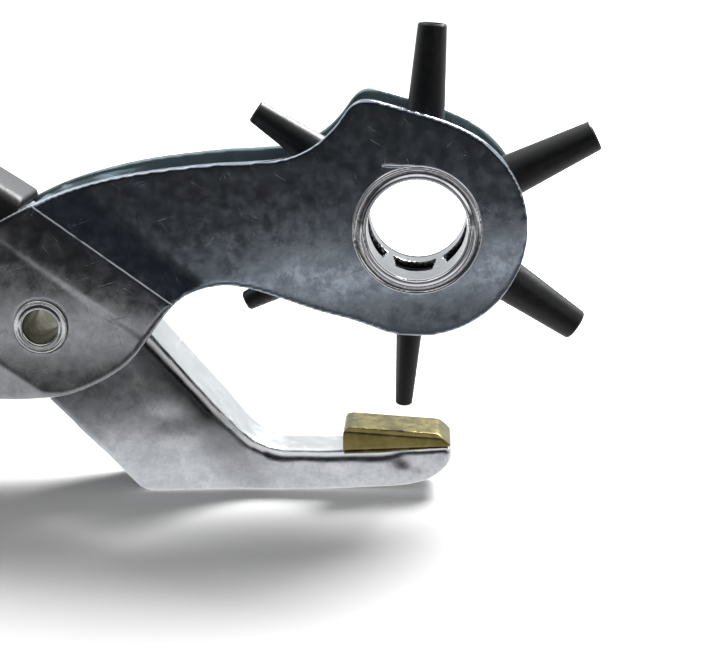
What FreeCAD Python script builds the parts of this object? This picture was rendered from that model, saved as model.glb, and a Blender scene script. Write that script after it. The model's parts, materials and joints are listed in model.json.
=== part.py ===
import FreeCAD, Part
import Sketcher
import math
import os
from FreeCAD import Placement, Rotation, Vector

# Revolving hole punch for leather, millimetres: two pressed channel arms on a pivot, a turret of
# six punch tubes, an anvil pad, an opening spring and two grips.
# Frame: origin on the pivot axis at mid thickness, +X towards the jaws, +Y across the tool, +Z up.
# Front pieces lie on the -Y side and rear pieces on the +Y side.
os.makedirs("parts", exist_ok=True)
doc = FreeCAD.newDocument("revolving_hole_punch")

# ---------------------------------------------------------------- driving dimensions
DIMS = [  # alias, value, note
    ("sheet_thk", 2.0, "sheet steel of both arms"),
    ("cut_span", 60.0, "span of the blanks across the tool"),
    ("head_half", 9.3, "outer half width of the head and neck"),
    ("crease_half", 11.0, "half width at the sharp crease"),
    ("lap_half", 11.2, "outer half width where the arms lap"),
    ("tail_half", 7.5, "outer half width of the lower handle"),
    ("joggle_head", 19.6, "joggle line, head side"),
    ("joggle_crease", 16.4, "joggle line, crease"),
    ("joggle_lap", 10.2, "joggle line, start of the flat lap"),
    ("joggle_back", -10.0, "second bend, start"),
    ("joggle_tail", -19.0, "second bend, end"),
    ("turret_x", 64.0, "turret axis, x"),
    ("turret_z", 16.9, "turret axis, z"),
    ("head_rad", 18.5, "round of the head"),
    ("frame_hole_rad", 9.75, "hole for the hub sleeve"),
    ("pivot_hole_rad", 3.95, "hole for the pivot rivet in the turret frame"),
    ("anvil_boss_half", 7.5, "outer half width of the anvil arm at the pivot"),
    ("anvil_mid_half", 6.4, "anvil arm half width at 18 mm from the pivot"),
    ("anvil_jaw_half", 7.3, "anvil arm half width at 18 mm from the pivot, jaw side"),
    ("anvil_end_half", 5.2, "anvil arm half width at the handle and at the foot"),
    ("pivot_bore_rad", 3.0, "through bore of the pivot rivet"),
    ("pivot_tube_rad", 3.9, "outside of the pivot rivet"),
    ("pivot_lip_rad", 4.6, "rolled flange of the pivot rivet"),
    ("pivot_half", 12.0, "half length of the pivot rivet"),
    ("pivot_seat", 11.25, "inner face of the rolled flange"),
    ("spacer_bore_rad", 3.95, "bore of the pivot spacer"),
    ("spacer_rad", 4.9, "outside of the pivot spacer"),
    ("spacer_half", 5.5, "half length of the pivot spacer"),
    ("washer_rad", 8.0, "pivot washer outside"),
    ("washer_in", 7.52, "pivot washer inner face"),
    ("washer_out", 9.15, "pivot washer outer face"),
    ("sleeve_bore_rad", 8.5, "clear bore of the hub sleeve"),
    ("sleeve_tube_rad", 9.7, "outside of the hub sleeve"),
    ("sleeve_lip_rad", 10.95, "rolled flange of the hub sleeve"),
    ("sleeve_half", 10.0, "half length of the hub sleeve"),
    ("sleeve_seat", 9.35, "inner face of the rolled flange"),
    ("window_near", -2.6, "slug window, near edge"),
    ("window_far", 4.9, "slug window, far edge"),
    ("window_near_half", 3.1, "slug window half width at the near edge"),
    ("window_far_half", 3.8, "slug window half width at the far edge"),
    ("hub_rad", 14.7, "hub block"),
    ("hub_half", 6.6, "half length of the hub"),
    ("socket_rad", 3.8, "punch socket in the hub"),
    ("dimple_ring", 13.2, "ring of the index dimples"),
    ("thrust_in", 6.62, "thrust washer inner face"),
    ("thrust_out", 7.25, "thrust washer outer face"),
    ("thrust_rad", 11.6, "thrust washer outside"),
    ("punch_reach", 33.5, "turret axis to punch tip"),
    ("punch_foot", 10.3, "turret axis to the inner end of a punch"),
    ("punch_seat", 14.7, "turret axis to the punch shoulder"),
    ("punch_collar", 16.2, "turret axis to the start of the taper"),
    ("leaf_thk", 0.4, "index leaf spring"),
    ("leaf_face", 7.28, "index leaf, face against the cheek"),
    ("leaf_rivet_x", 38.4, "index leaf rivet, x"),
    ("leaf_rivet_z", 12.4, "index leaf rivet, z"),
    ("leaf_rivet_rad", 1.25, "index leaf rivet shank"),
    ("pad_width", 10.0, "anvil pad width"),
    ("pad_rivet_x", 58.0, "anvil rivet, x"),
    ("pad_rivet_rad", 2.0, "anvil rivet shank"),
    ("wire_dia", 1.4, "opening spring wire"),
    ("coil_rad", 5.95, "opening spring mean radius"),
    ("coil_pitch", 1.5, "opening spring pitch"),
    ("upper_grip_half", 6.9, "upper grip half width"),
    ("lower_grip_half", 9.0, "lower grip half width"),
    ("grip_skin", 1.9, "grip wall over the edges"),
]
sheet = doc.addObject("Spreadsheet::Sheet", "Dims")
for row, (alias, value, note) in enumerate(DIMS, start=1):
    sheet.set("A%d" % row, alias)
    sheet.set("B%d" % row, repr(value))
    sheet.setAlias("B%d" % row, alias)
    sheet.set("C%d" % row, note)
doc.recompute()
size = {alias: value for alias, value, note in DIMS}

TAIL_X = -122.0         # handle end of both arms
CREASE_TURN = -54.05    # turn about Y that lays local x square to the frame's crease
PUNCH_COUNT = 6
PUNCH_STEP = 360 // PUNCH_COUNT
FIRST_PUNCH = -93.7     # direction of the punch that meets the anvil, degrees from +X towards +Z
TURRET_TURN = -FIRST_PUNCH - 90.0   # turn about Y that points the turret's own -Z at the anvil
NUB_ANGLE = 190         # direction of the first index dimple, where the leaf's nub sits


class Linked:
    """A number that also carries its spreadsheet expression."""

    def __init__(self, value, text):
        self.value = float(value)
        self.text = text

    @staticmethod
    def of(number):
        return number if isinstance(number, Linked) else Linked(number, repr(float(number)))

    def __add__(self, other):
        other = Linked.of(other)
        return Linked(self.value + other.value, "(%s + %s)" % (self.text, other.text))

    def __sub__(self, other):
        other = Linked.of(other)
        return Linked(self.value - other.value, "(%s - %s)" % (self.text, other.text))

    def __mul__(self, other):
        other = Linked.of(other)
        return Linked(self.value * other.value, "(%s * %s)" % (self.text, other.text))

    def __neg__(self):
        return Linked(-self.value, "(0 - %s)" % self.text)


def dim(alias):
    return Linked(size[alias], "Dims." + alias)


pieces = []


def keep(obj, label):
    """Name a finished piece and list it for export."""
    obj.Label = label
    pieces.append(obj)


# ---------------------------------------------------------------- sketch and solid helpers
def bind_coordinate(sketch, kind, corner, number):
    """Hold one coordinate of a corner, by the sheet where the number comes from it."""
    if abs(number.value) < 1e-9:
        axis = -2 if kind == "DistanceX" else -1
        sketch.addConstraint(Sketcher.Constraint("PointOnObject", corner, 1, axis))
        return
    index = sketch.addConstraint(Sketcher.Constraint(kind, -1, 1, corner, 1, number.value))
    if "Dims" in number.text:
        sketch.setExpression("Constraints[%d]" % index, number.text)


def bind_polygon(sketch, points):
    """Closed polygon, each corner placed from the origin."""
    corners = [(Linked.of(x), Linked.of(y)) for x, y in points]
    count = len(corners)
    for i in range(count):
        (x0, y0), (x1, y1) = corners[i], corners[(i + 1) % count]
        sketch.addGeometry(segment((x0.value, y0.value), (x1.value, y1.value)), False)
    for i in range(count):
        sketch.addConstraint(Sketcher.Constraint("Coincident", i, 2, (i + 1) % count, 1))
    for i, (x, y) in enumerate(corners):
        bind_coordinate(sketch, "DistanceX", i, x)
        bind_coordinate(sketch, "DistanceY", i, y)


def bind_mirrored(sketch, upper):
    """Closed polygon from its upper half, mirrored in the sketch's x axis."""
    bind_polygon(sketch, upper + [(x, -y) for x, y in reversed(upper)])


def bind_circle(sketch, radius, x=None):
    """Circle of an aliased radius, at the origin or at an aliased x."""
    centre = Vector(size[x] if x else 0, 0, 0)
    sketch.addGeometry(Part.Circle(centre, Vector(0, 0, 1), size[radius]), False)
    index = sketch.addConstraint(Sketcher.Constraint("Radius", 0, size[radius]))
    sketch.setExpression("Constraints[%d]" % index, "Dims." + radius)
    if x:
        index = sketch.addConstraint(Sketcher.Constraint("DistanceX", -1, 1, 0, 3, size[x]))
        sketch.setExpression("Constraints[%d]" % index, "Dims." + x)
        sketch.addConstraint(Sketcher.Constraint("PointOnObject", 0, 3, -1))
    else:
        sketch.addConstraint(Sketcher.Constraint("Coincident", 0, 3, -1, 1))


def body_sketch(body, role, name):
    """Sketch on one of the body's own origin planes."""
    sketch = body.newObject("Sketcher::SketchObject", name)
    plane = next(f for f in body.Origin.OriginFeatures if f.Role == role)
    sketch.AttachmentSupport = [(plane, "")]
    sketch.MapMode = "FlatFace"
    return sketch


def bind_place(obj, **aliases):
    for axis, alias in aliases.items():
        obj.setExpression("Placement.Base." + axis, "Dims." + alias)


def turned(label, profile, axial="Y"):
    """Closed profile of (radius, axial) corners revolved about the body's own Y or Z axis."""
    body = doc.addObject("PartDesign::Body", "Body_" + label)
    sketch = body_sketch(body, "XY_Plane" if axial == "Y" else "XZ_Plane", "profile_" + label)
    bind_polygon(sketch, profile)
    revolution = body.newObject("PartDesign::Revolution", "turn_" + label)
    revolution.Profile = sketch
    revolution.ReferenceAxis = (sketch, ["V_Axis"])
    revolution.Angle = 360
    body.Tip = revolution
    return body


def turned_on_turret(label, profile, axial="Y", turn=0.0):
    """A turned piece carried to the turret axis, turned about Y by degrees."""
    body = turned(label, profile, axial)
    base = Vector(size["turret_x"], 0, size["turret_z"])
    body.Placement = Placement(base, Rotation(Vector(0, 1, 0), turn))
    bind_place(body, x="turret_x", z="turret_z")
    return body


def tube_profile(bore, outside, start, end):
    return [(bore, start), (outside, start), (outside, end), (bore, end)]


def pocket(body, sketch, name, depth, flipped=False):
    cut = body.newObject("PartDesign::Pocket", name)
    cut.Profile = sketch
    cut.Type = "Length"
    cut.Length = depth
    cut.Reversed = flipped
    body.Tip = cut
    doc.recompute()
    return cut


def require_cut(after, before, least):
    """Stop if a cut took away less than the least volume."""
    if after.Shape.Volume > before.Shape.Volume - least:
        raise RuntimeError("%s cut too little" % after.Name)


def pocket_ring(body, sketch, name, ring_name, depth):
    """A pocket repeated for each punch about the sketch's vertical axis."""
    cut = pocket(body, sketch, name, depth)
    pattern = body.newObject("PartDesign::PolarPattern", ring_name)
    pattern.Originals = [cut]
    pattern.Axis = (sketch, ["V_Axis"])
    pattern.Angle = 360
    pattern.Occurrences = PUNCH_COUNT
    body.Tip = pattern
    doc.recompute()
    require_cut(pattern, cut, 5)


SIDE_VIEW = Placement(Vector(0, 0, 0), Rotation(Vector(1, 0, 0), 90))  # sketch y -> Z


def segment(start, end):
    return Part.LineSegment(Vector(*start, 0), Vector(*end, 0))


def arc(centre, radius, start_angle, end_angle):
    circle = Part.Circle(Vector(*centre, 0), Vector(0, 0, 1), radius)
    return Part.ArcOfCircle(circle, start_angle, end_angle)


def chain(*points):
    return [segment(a, b) for a, b in zip(points, points[1:])]


def curve(points, start_tangent=None, end_tangent=None):
    """Spline through the points, with its end tangents held where they are given."""
    spline = Part.BSplineCurve()
    through = [Vector(x, z, 0) for x, z in points]
    if start_tangent is None and end_tangent is None:
        spline.interpolate(through)
        return spline
    free = Vector(1, 0, 0)      # stands in where no tangent is held
    first = Vector(*start_tangent, 0) if start_tangent else free
    last = Vector(*end_tangent, 0) if end_tangent else free
    inner = len(through) - 2
    spline.interpolate(
        Points=through, Tangents=[first] + [free] * inner + [last],
        TangentFlags=[bool(start_tangent)] + [False] * inner + [bool(end_tangent)])
    return spline


def offset_points(points, distance):
    """Points moved to the left of the curve through them."""
    spline = Part.BSplineCurve()
    spline.interpolate([Vector(x, z, 0) for x, z in points])
    moved = []
    for x, z in points:
        tangent = spline.tangent(spline.parameter(Vector(x, z, 0)))[0]
        moved.append((x - tangent.y * distance, z + tangent.x * distance))
    return moved


def side_blank(name, geometry, span=None):
    """Side view outline extruded along Y, symmetric about the mid plane."""
    sketch = doc.addObject("Sketcher::SketchObject", "outline_" + name)
    sketch.Placement = SIDE_VIEW
    for item in geometry:
        sketch.addGeometry(item, False)
    span = span or dim("cut_span")
    return operation("Extrusion", "blank_" + name, {"LengthFwd": span}, Base=sketch,
                     DirMode="Custom", Dir=Vector(0, 1, 0), Solid=True, Symmetric=True)


def operation(kind, name, linked=None, **properties):
    """Part object with its properties set, and the linked ones bound to the sheet."""
    obj = doc.addObject("Part::" + kind, name)
    for key, setting in properties.items():
        setattr(obj, key, setting)
    for key, number in (linked or {}).items():
        setattr(obj, key, number.value)
        obj.setExpression(key, number.text)
    return obj


def cross_cylinder(name, radius, x, z, start_y, length):
    """Cylinder along Y."""
    x, z, start_y, length = (Linked.of(number) for number in (x, z, start_y, length))
    base = Vector(x.value, start_y.value, z.value)
    cylinder = operation("Cylinder", name, {"Radius": radius, "Height": length},
                         Placement=Placement(base, Rotation(Vector(1, 0, 0), -90)))
    cylinder.setExpression("Placement.Base.x", x.text)
    cylinder.setExpression("Placement.Base.y", start_y.text)
    cylinder.setExpression("Placement.Base.z", z.text)
    return cylinder


def soften(base, chooser, radius, name):
    """Round the chosen edges; the piece stays sharp if the round can't be made."""
    doc.recompute()
    picks = [i for i, edge in enumerate(base.Shape.Edges, start=1) if chooser(edge)]
    fillet = operation("Fillet", name, Base=base, Edges=[(i, radius, radius) for i in picks])
    doc.recompute()
    shape = fillet.Shape
    if (picks and not shape.isNull() and shape.isValid() and shape.Volume > 0
            and not ("Invalid" in fillet.State or "Error" in fillet.State)):
        return fillet
    doc.removeObject(fillet.Name)
    return base


# Limits of the hollowing outlines, well outside the arms
FAR_TAIL, FAR_JAW = -140, 110

# ---------------------------------------------------------------- turret frame (outer arm)
# Side view outlines, (x, z)
FRAME_WEB = [  # lower edge of the handle, tail to pivot
    (TAIL_X, -29.5), (-112, -29.5), (-100, -29.0), (-85, -27.1), (-70, -24.4), (-45, -19.6),
    (-25, -16.2), (-14, -14.9), (-7.5, -14.45)]
FRAME_LOBE = [  # lower edge from the pivot to the head's round
    (-7.5, -14.45), (-3.5, -14.0), (0.0, -13.4), (3.4, -12.6), (6.9, -11.3), (11.6, -8.9),
    (15.2, -6.1), (17.7, -3.0), (20.0, 0.3), (22.4, 3.3), (24.3, 4.85), (26.6, 5.95),
    (29.6, 6.7), (32.5, 6.85), (35.9, 6.35), (41.1, 4.75), (48.0, 2.45)]
FRAME_TOP = [  # upper edge from the head's round back to the tail
    (70.0, 34.5), (66.6, 35.75), (61.6, 37.15), (57.4, 38.3), (55.4, 38.6), (53.8, 38.2),
    (52.5, 37.1), (51.2, 35.3), (49.0, 32.7), (45.8, 30.3), (42.4, 28.9), (39.0, 28.3),
    (35.9, 28.1), (29.5, 27.7), (22.8, 26.95), (16.0, 25.95), (7.4, 23.9), (2.3, 22.2),
    (-5.9, 18.4), (-12, 15.0), (-20, 9.9), (-30, 3.6), (-45, -4.0), (-70, -10.8),
    (-95, -15.0), (TAIL_X, -16.5)]
HEAD_START, HEAD_END = math.radians(-112), math.radians(62)     # ends of the head's round


def frame_blank():
    centre, radius = (size["turret_x"], size["turret_z"]), size["head_rad"]

    def on_head(angle):
        return centre[0] + radius * math.cos(angle), centre[1] + radius * math.sin(angle)

    def along_head(angle):
        return -math.sin(angle), math.cos(angle)

    return side_blank("turret_frame", [
        curve(FRAME_WEB),
        curve(FRAME_LOBE + [on_head(HEAD_START)], None, along_head(HEAD_START)),
        arc(centre, radius, HEAD_START, HEAD_END),
        curve([on_head(HEAD_END)] + FRAME_TOP, along_head(HEAD_END), None),
        segment(FRAME_TOP[-1], FRAME_WEB[0])])


def frame_hollow():
    inside = offset_points(FRAME_WEB, size["sheet_thk"])
    end_x = FRAME_WEB[-1][0]
    inside[-1] = (end_x, inside[-1][1])
    low, high = -60, 70
    return side_blank("frame_hollow", [
        segment((FAR_TAIL, inside[0][1]), inside[0]), curve(inside),
        *chain(inside[-1], (end_x, low), (FAR_JAW, low), (FAR_JAW, high), (FAR_TAIL, high),
               (FAR_TAIL, inside[0][1]))])


def frame_envelope(name, inset):
    """Half width of the turret frame by the distance square to the crease, less an inset."""
    sketch = doc.addObject("Sketcher::SketchObject", "width_" + name)
    sketch.Placement = Placement(Vector(0, 0, 0), Rotation(Vector(0, 1, 0), CREASE_TURN))
    stations = [  # distance, half width
        (-150, "tail_half"), (dim("joggle_tail"), "tail_half"), (dim("joggle_back"), "lap_half"),
        (dim("joggle_lap"), "lap_half"), (dim("joggle_crease"), "crease_half"),
        (dim("joggle_head"), "head_half"), (150, "head_half")]
    bind_mirrored(sketch, [(x, dim(half) - inset) for x, half in stations])
    return operation("Extrusion", "envelope_" + name, Base=sketch, DirMode="Normal", Solid=True,
                     Symmetric=True, LengthFwd=400)


def is_frame_web_edge(edge):
    """Outer edges between the handle's web and its side walls."""
    box = edge.BoundBox
    if box.YLength > 3.8 or box.XMax > -5.5 or box.XLength < 0.8:
        return False
    if min(abs(box.YMin), abs(box.YMax)) < 7.0:
        return False
    middle = edge.valueAt((edge.FirstParameter + edge.LastParameter) / 2)
    for (x0, z0), (x1, z1) in zip(FRAME_WEB, FRAME_WEB[1:]):
        if x0 <= middle.x <= x1:
            return abs(middle.z - (z0 + (z1 - z0) * (middle.x - x0) / (x1 - x0))) < 0.8
    return False


def turret_frame():
    """Returns the sharp, solid outside of the frame."""
    blank = frame_blank()
    outside = frame_envelope("frame_outside", 0)
    inside = frame_envelope("frame_inside", dim("sheet_thk"))
    hollow = frame_hollow()
    outer = operation("Common", "frame_outer", Base=blank, Tool=outside)
    inner = operation("Common", "frame_inner", Base=hollow, Tool=inside)
    rounded = soften(outer, is_frame_web_edge, 2.2, "frame_outer_round")
    channel = operation("Cut", "frame_channel", Base=rounded, Tool=inner)
    drills = operation("MultiFuse", "frame_drills", Shapes=[
        cross_cylinder("frame_pivot_drill", dim("pivot_hole_rad"), 0, 0, -20, 40),
        cross_cylinder("frame_sleeve_drill", dim("frame_hole_rad"), dim("turret_x"),
                       dim("turret_z"), -20, 40),
        cross_cylinder("frame_leaf_drill", dim("leaf_rivet_rad"), dim("leaf_rivet_x"),
                       dim("leaf_rivet_z"), 2, 20)])     # rear wall only
    keep(operation("Cut", "frame_drilled", Base=channel, Tool=drills), "turret_frame")
    return outer


# ---------------------------------------------------------------- anvil arm (inner arm)
# The web slopes down in a straight line from above the pivot to the foot.
THROAT_Z = 18.6                 # height that the slope's line crosses at x = THROAT_X
THROAT_X = -0.42
THROAT_SLOPE = (THROAT_Z + 4.6) / (17.0 + 3.2)
THROAT_ANGLE = math.atan(THROAT_SLOPE)
THROAT_BEND = 12.0              # radius between the sloping web and the foot

FOOT_TOP, FOOT_LOW = -24.0, -31.5
RISE_X = 48.0                   # from here the foot's top rises towards the toe
FOOT_RISE = math.tan(math.radians(3.0))
NOSE_WALL = 66.6                # inner face of the foot's end wall

UNDER_Z = -14.6                 # lower edge at x = 0, from where it slopes to the foot
UNDER_SLOPE = 9.1 / 8.6
UNDER_ANGLE = math.atan(UNDER_SLOPE)
UNDER_BEND = 3.0


def throat(x):
    return THROAT_Z - THROAT_SLOPE * (x - THROAT_X)


def foot_top(x):
    return FOOT_TOP + max(0.0, x - RISE_X) * FOOT_RISE


# Side view outlines, (x, z)
ANVIL_WEB = [  # upper edge, tail to the straight slope
    (TAIL_X, 33.0), (-95, 36.5), (-70, 38.0), (-45, 36.0), (-25, 30.6), (-11, 23.5),
    (-5, 19.7), (0, 15.1), (5, 10.1), (11, 4.6), (17.5, throat(17.5))]
ANVIL_NOSE = [  # round the toe and back along the underside of the foot
    (69.5, foot_top(69.5)), (70.15, -23.15), (70.45, -23.9), (70.4, -25.0), (69.7, -26.5),
    (68.2, -28.1), (66.2, -29.3), (63.6, -30.1), (60.0, -30.6), (54.0, -31.0),
    (48.0, -31.35), (42.0, FOOT_LOW)]
ANVIL_LOW = [  # lower edge from below the pivot back to the tail
    (0, UNDER_Z), (-4.6, -10.3), (-8.2, -5.2), (-9.9, 0.0), (-11.4, 4.4), (-15.2, 8.8),
    (-22, 13.4), (-30, 17.6), (-45, 23.0), (-70, 25.6), (-95, 24.4), (TAIL_X, 21.2)]


def foot_bend(corner_x, level, angle, radius):
    """Where a down slope turns level: its end on the slope, its end on the level, its centre
    and the angle of the slope end seen from the centre."""
    reach = radius * math.tan(angle / 2)
    on_slope = (corner_x - reach * math.cos(angle), level + reach * math.sin(angle))
    on_level = (corner_x + reach, level)
    centre = (on_level[0], level + radius)
    start_angle = math.atan2(on_slope[1] - centre[1], on_slope[0] - centre[0])
    return on_slope, on_level, centre, start_angle


throat_bend = foot_bend(THROAT_X + (THROAT_Z - FOOT_TOP) / THROAT_SLOPE, FOOT_TOP,
                        THROAT_ANGLE, THROAT_BEND)
under_bend = foot_bend((UNDER_Z - FOOT_LOW) / UNDER_SLOPE, FOOT_LOW, UNDER_ANGLE, UNDER_BEND)
down_slope = (math.cos(THROAT_ANGLE), -math.sin(THROAT_ANGLE))


def anvil_blank():
    on_slope, on_level, centre, start_angle = throat_bend
    under_slope, under_level, under_centre, under_start = under_bend
    return side_blank("anvil_arm", [
        curve(ANVIL_WEB, None, down_slope),
        segment(ANVIL_WEB[-1], on_slope),
        arc(centre, THROAT_BEND, start_angle, -math.pi / 2),
        *chain(on_level, (RISE_X, FOOT_TOP), ANVIL_NOSE[0]),
        curve(ANVIL_NOSE),
        segment(ANVIL_NOSE[-1], under_level),
        arc(under_centre, UNDER_BEND, under_start, -math.pi / 2),
        segment(under_slope, ANVIL_LOW[0]),
        curve(ANVIL_LOW, (-math.cos(UNDER_ANGLE), math.sin(UNDER_ANGLE)), None),
        segment(ANVIL_LOW[-1], ANVIL_WEB[0])])


def anvil_hollow():
    wall = size["sheet_thk"]

    def under_web(point):
        """Point one wall square below the sloping web."""
        return (point[0] - wall * math.sin(THROAT_ANGLE), point[1] - wall * math.cos(THROAT_ANGLE))

    on_slope, on_level, centre, start_angle = throat_bend
    inside = offset_points(ANVIL_WEB, -wall)
    inside[-1] = under_web(ANVIL_WEB[-1])
    low = -70
    return side_blank("anvil_hollow", [
        segment((FAR_TAIL, inside[0][1]), inside[0]),
        curve(inside, None, down_slope),
        segment(inside[-1], under_web(on_slope)),
        arc(centre, THROAT_BEND + wall, start_angle, -math.pi / 2),
        *chain((on_level[0], FOOT_TOP - wall), (RISE_X, FOOT_TOP - wall),
               (NOSE_WALL, foot_top(NOSE_WALL) - wall), (NOSE_WALL, low), (FAR_TAIL, low),
               (FAR_TAIL, inside[0][1]))])


def box(name, length, width, height):
    return operation("Box", name, Length=length, Width=width, Height=height)


def anvil_envelope(name, inset):
    """Half width of the anvil arm by the distance from the pivot axis, less an inset.
    The jaw side stays wide longer than the handle side."""
    boss, middle, jaw, end = (
        dim("anvil_%s_half" % place) - inset for place in ("boss", "mid", "jaw", "end"))
    stations = {  # (distance from the pivot axis, half width)
        "tail": [(0, boss), (12, boss), (18, middle), (30, end), (150, end)],
        "jaw": [(0, boss), (12, boss), (18, jaw), (33, jaw - 0.2), (45, end), (150, end)],
    }
    turned_sides = {}
    for side, upper in stations.items():
        sketch = doc.addObject("Sketcher::SketchObject", "width_%s_%s" % (side, name))
        bind_mirrored(sketch, upper)
        turned_sides[side] = operation(
            "Revolution", "envelope_%s_%s" % (side, name), Source=sketch, Axis=Vector(0, 1, 0),
            Base=Vector(0, 0, 0), Angle=360, Solid=True)
    jaw_side = box("jaw_side_" + name, 160, 40, 200)
    jaw_side.Placement.Base = Vector(0, -20, -100)
    jaw_envelope = operation("Common", "jaw_envelope_" + name, Base=turned_sides["jaw"],
                             Tool=jaw_side)
    return operation("MultiFuse", "envelope_" + name, Shapes=[turned_sides["tail"], jaw_envelope])


def anvil_arm():
    """Returns the solid outside of the arm."""
    blank = anvil_blank()
    outside = anvil_envelope("anvil_outside", 0)
    inside = anvil_envelope("anvil_inside", dim("sheet_thk"))
    hollow = anvil_hollow()
    outer = operation("Common", "anvil_outer", Base=blank, Tool=outside)
    inner = operation("Common", "anvil_inner", Base=hollow, Tool=inside)
    channel = operation("Cut", "anvil_channel", Base=outer, Tool=inner)
    pivot_drill = cross_cylinder("anvil_pivot_drill", dim("pivot_tube_rad"), 0, 0, -20, 40)
    rivet_drill = operation("Cylinder", "anvil_rivet_drill", {"Radius": dim("pad_rivet_rad")},
                            Height=7)
    rivet_drill.Placement.Base = Vector(size["pad_rivet_x"], 0, -27)
    bind_place(rivet_drill, x="pad_rivet_x")
    drills = operation("MultiFuse", "anvil_drills", Shapes=[pivot_drill, rivet_drill])
    keep(operation("Cut", "anvil_drilled", Base=channel, Tool=drills), "anvil_arm")
    return outer


# ---------------------------------------------------------------- anvil pad and its rivet
PAD_TILT = math.radians(TURRET_TURN)    # the pad's face is square to the working punch


def pad_top(x):
    return -20.15 - math.tan(PAD_TILT) * (x - 60.8)


def anvil_pad():
    body = doc.addObject("PartDesign::Body", "Body_anvil_pad")
    profile = body_sketch(body, "XZ_Plane", "profile_anvil_pad")
    bind_polygon(profile, [
        (51.2, foot_top(51.2)), (69.4, foot_top(69.4)), (70.2, foot_top(69.4) + 0.1),
        (70.3, -22.6), (68.3, pad_top(68.3) - 0.12), (67.7, pad_top(67.7)),
        (52.6, pad_top(52.6)), (51.7, pad_top(51.7) - 0.35), (51.2, pad_top(51.2) - 1.2)])
    block = body.newObject("PartDesign::Pad", "pad_anvil_pad")
    block.Profile = profile
    block.Type = "Length"
    block.Midplane = True
    block.setExpression("Length", "Dims.pad_width")
    body.Tip = block
    doc.recompute()

    def is_long_top_edge(edge):
        bounds = edge.BoundBox
        on_side = abs(abs(bounds.YMin) - size["pad_width"] / 2) < 1e-3
        return on_side and abs(bounds.YLength) < 1e-3 and bounds.ZMin > -21.2 and edge.Length > 5

    chamfer = body.newObject("PartDesign::Chamfer", "chamfer_anvil_pad")
    chamfer.Base = (block, ["Edge%d" % i for i, edge in enumerate(block.Shape.Edges, start=1)
                            if is_long_top_edge(edge)])
    chamfer.Size = 0.7
    body.Tip = chamfer

    # Blind socket for the rivet, from below
    socket = body_sketch(body, "XY_Plane", "socket_anvil_pad")
    socket.AttachmentOffset = Placement(Vector(0, 0, FOOT_TOP - 1.0), Rotation())
    bind_circle(socket, "pad_rivet_rad", x="pad_rivet_x")
    drilled = pocket(body, socket, "drill_anvil_pad", 3.2, flipped=True)
    require_cut(drilled, chamfer, 10)
    keep(body, "anvil_pad")


def anvil_rivet():
    shank = dim("pad_rivet_rad")
    head_low, head_rad, head_top, shank_top = -27.1, 3.1, -26.02, -21.85
    rivet = turned("anvil_rivet", [
        (0, head_low), (head_rad - 0.4, head_low), (head_rad, head_low + 0.4),
        (head_rad, head_top), (shank, head_top), (shank, shank_top), (0, shank_top)], axial="Z")
    bind_place(rivet, x="pad_rivet_x")
    keep(rivet, "anvil_rivet")


# ---------------------------------------------------------------- pivot
def eyelet(prefix, mouth, bead, relief=None):
    """Profile of a tube whose ends are rolled outwards: a rounded bead at the bore, a shallow
    ring and a thin raised rim. mouth is how deep the round starts, bead how wide it is;
    relief is (position, depth) of a wider stretch of bore up to the +Y end."""
    bore, tube, flange = (dim("%s_%s_rad" % (prefix, part)) for part in ("bore", "tube", "lip"))
    half, seat = dim(prefix + "_half"), dim(prefix + "_seat")
    ring = 0.35 * mouth                     # depth of the shallow ring
    lip = []                                # (radius, depth below the tube's end)
    for k in range(7):                      # from the bore wall to the top of the bead
        angle = math.pi / 2 * k / 6
        lip.append((bore + (bead / 2) * (1 - math.cos(angle)), mouth * (1 - math.sin(angle))))
    for k in range(1, 4):                   # down the outside of the bead
        angle = math.pi / 2 * k / 3
        lip.append((bore + bead / 2 + (bead / 2) * math.sin(angle), ring * (1 - math.cos(angle))))
    lip += [(flange - 0.38, ring), (flange - 0.26, 0.4 * ring), (flange - 0.12, 0.35 * ring),
            (flange, ring)]
    near = [(radius, Linked.of(depth) - half) for radius, depth in lip]
    far = [(radius, half - depth) for radius, depth in reversed(lip)]
    middle = [(flange, -seat), (tube, -seat), (tube, seat), (flange, seat)]
    step = []
    if relief:
        start, depth = relief
        far[-1] = (far[-1][0] + depth, far[-1][1])
        step = [(bore + depth, start), (bore, start - 0.1)]
    return near + middle + far + step


def pivot():
    keep(turned("pivot_rivet", eyelet("pivot", mouth=0.4, bead=0.7)), "pivot_rivet")
    bore, half = dim("spacer_bore_rad"), dim("spacer_half")
    keep(turned("pivot_spacer", tube_profile(bore, dim("spacer_rad"), -half, half)),
         "pivot_spacer")
    for label, side in (("pivot_washer_front", -1.0), ("pivot_washer_rear", 1.0)):
        profile = tube_profile(bore, dim("washer_rad"), dim("washer_in") * side,
                               dim("washer_out") * side)
        keep(turned(label, profile), label)


# ---------------------------------------------------------------- opening spring
LEG_ON_FRAME = Vector(-18.0, 0, -12.4)  # end of the leg on the web of the turret frame's handle
LEG_ON_ANVIL = Vector(-18.0, 0, 23.75)  # end of the leg under the web of the anvil arm's handle
COIL_MID_Y = -0.62


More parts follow.
